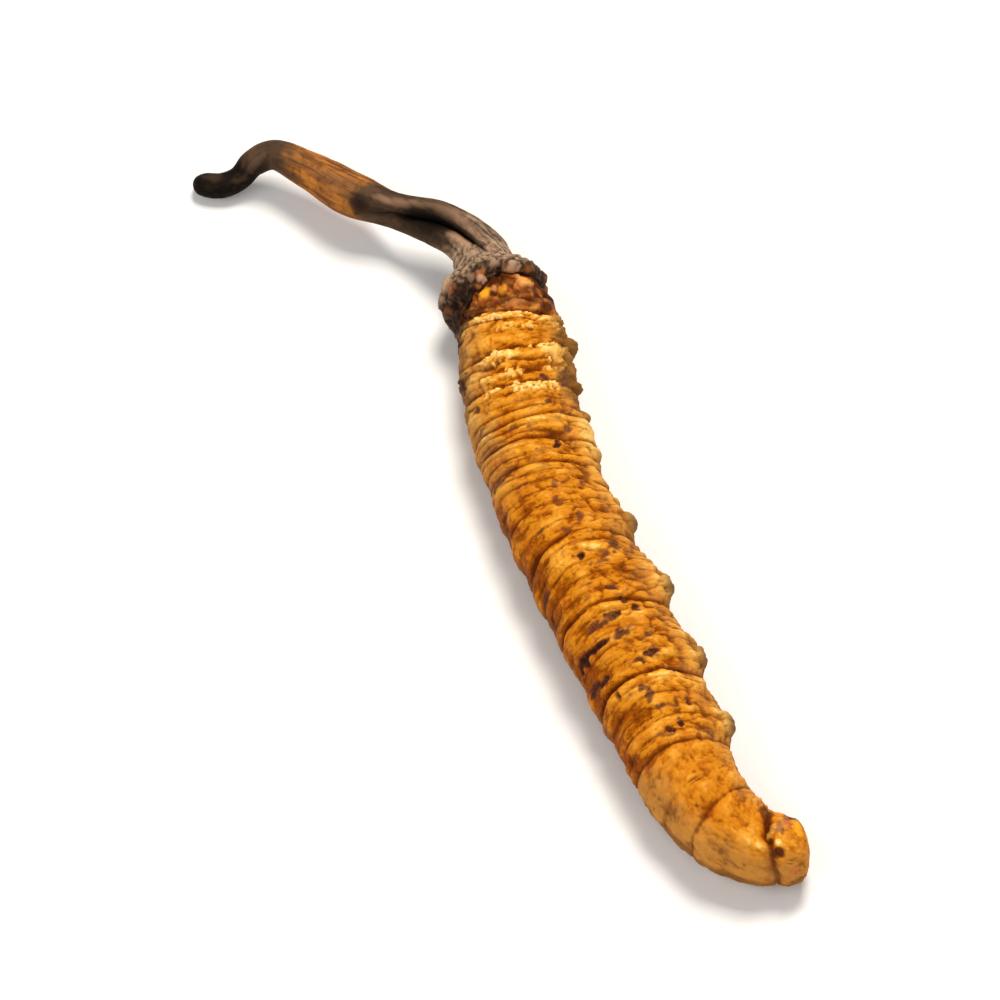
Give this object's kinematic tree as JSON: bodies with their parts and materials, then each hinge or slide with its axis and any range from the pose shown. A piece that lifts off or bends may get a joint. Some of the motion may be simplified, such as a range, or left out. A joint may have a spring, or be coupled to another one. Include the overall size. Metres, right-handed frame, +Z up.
{
  "type": "dried cordyceps",
  "caption": "Dried cordyceps lying on its side: a ringed golden larva with prolegs, and the bent dark stem of the fungus that grew out of its head.",
  "frame": {"origin": "centre of the bounding box, at the level of the surface that the specimen lies on", "axes": "+Z up, +Y from the larva's tail towards its head, +X the side that its belly faces"},
  "size_m": [0.0348, 0.0498, 0.0062],
  "materials": {
    "dried_skin": "satin",
    "dried_stem": "matte"
  },
  "bodies": {
    "root": {"larva": "dried_skin", "stem": "dried_stem"}
  },
  "joints": []
}
